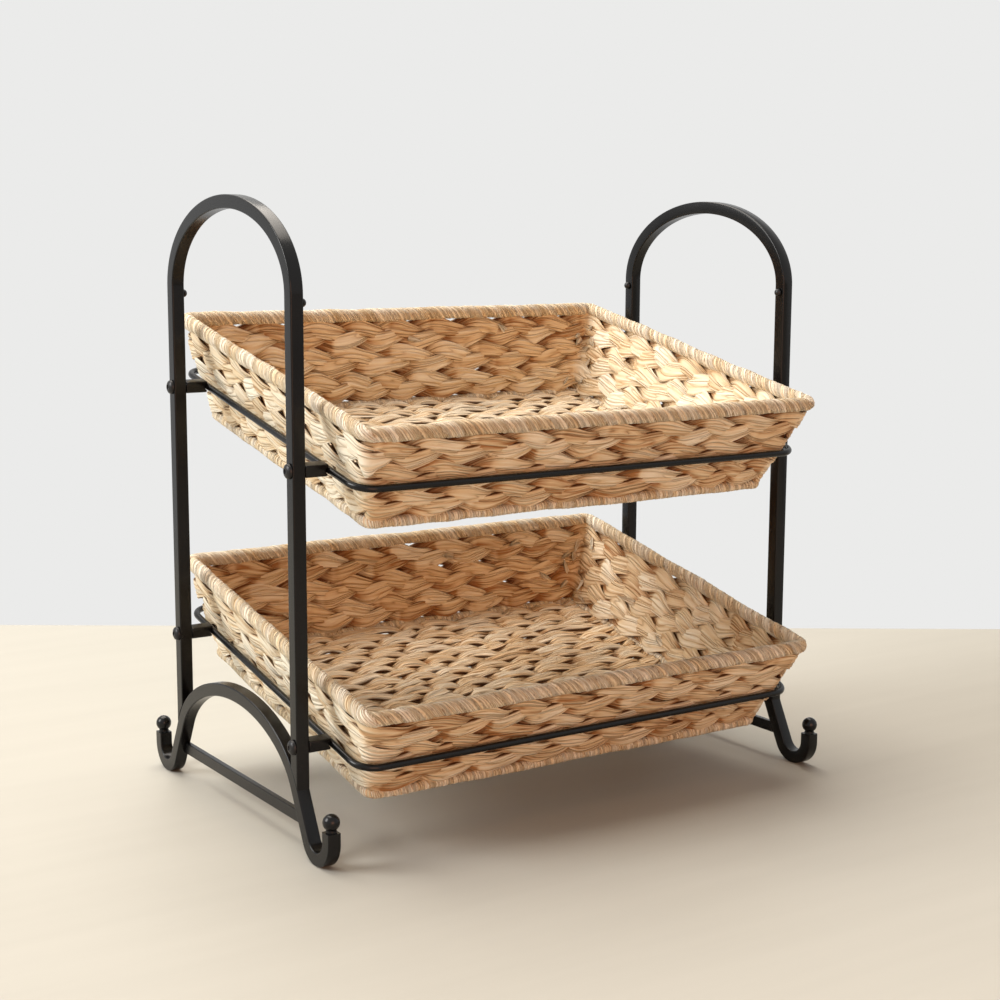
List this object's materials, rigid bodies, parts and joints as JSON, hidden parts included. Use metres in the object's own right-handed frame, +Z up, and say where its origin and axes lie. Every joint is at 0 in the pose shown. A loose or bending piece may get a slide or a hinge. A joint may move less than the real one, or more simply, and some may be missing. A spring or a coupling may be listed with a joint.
{
  "type": "stacking rattan display rack",
  "caption": "Two-tier countertop rack: black steel side frames on scrolled feet carry tilted wire rings that hold plaited rattan baskets, which lift out.",
  "frame": {"origin": "middle of the rack's box, on the surface that its feet stand on", "axes": "+X along the rack and the baskets, +Y away from the shopper, +Z up"},
  "size_m": [0.4154, 0.2849, 0.4155],
  "materials": {
    "steel": "satin black powder coat",
    "fasteners": "black oxide",
    "plait": "dry natural leaf, flat three-strand plait",
    "binding": "dry natural leaf, wrapped"
  },
  "bodies": {
    "rack": {"left_arch_frame": "steel", "left_base_scroll": "steel", "left_cross_bar": "steel", "left_front_foot_ball": "steel", "left_front_stud": "fasteners", "left_rear_foot_ball": "steel", "left_rear_stud": "fasteners", "right_arch_frame": "steel", "right_base_scroll": "steel", "right_cross_bar": "steel", "right_front_foot_ball": "steel", "right_front_stud": "fasteners", "right_rear_foot_ball": "steel", "right_rear_stud": "fasteners", "lower_ring": "steel", "lower_left_front_arm": "steel", "lower_left_front_screw": "fasteners", "lower_left_rear_arm": "steel", "lower_left_rear_screw": "fasteners", "lower_right_front_arm": "steel", "lower_right_front_screw": "fasteners", "lower_right_rear_arm": "steel", "lower_right_rear_screw": "fasteners", "upper_ring": "steel", "upper_left_front_arm": "steel", "upper_left_front_screw": "fasteners", "upper_left_rear_arm": "steel", "upper_left_rear_screw": "fasteners", "upper_right_front_arm": "steel", "upper_right_front_screw": "fasteners", "upper_right_rear_arm": "steel", "upper_right_rear_screw": "fasteners"},
    "lower_basket": {"lower_basket_rim": "binding", "lower_basket_wall": "plait", "lower_basket_base_rod": "binding", "lower_basket_floor": "plait"},
    "upper_basket": {"upper_basket_rim": "binding", "upper_basket_wall": "plait", "upper_basket_base_rod": "binding", "upper_basket_floor": "plait"}
  },
  "joints": [
    {"name": "lower_basket_lift", "type": "slide", "parent": "rack", "child": "lower_basket", "axis": [0, -0.2079, 0.9781], "range_m": [0, 0.075]},
    {"name": "upper_basket_lift", "type": "slide", "parent": "rack", "child": "upper_basket", "axis": [0, -0.2079, 0.9781], "range_m": [0, 0.22]}
  ]
}
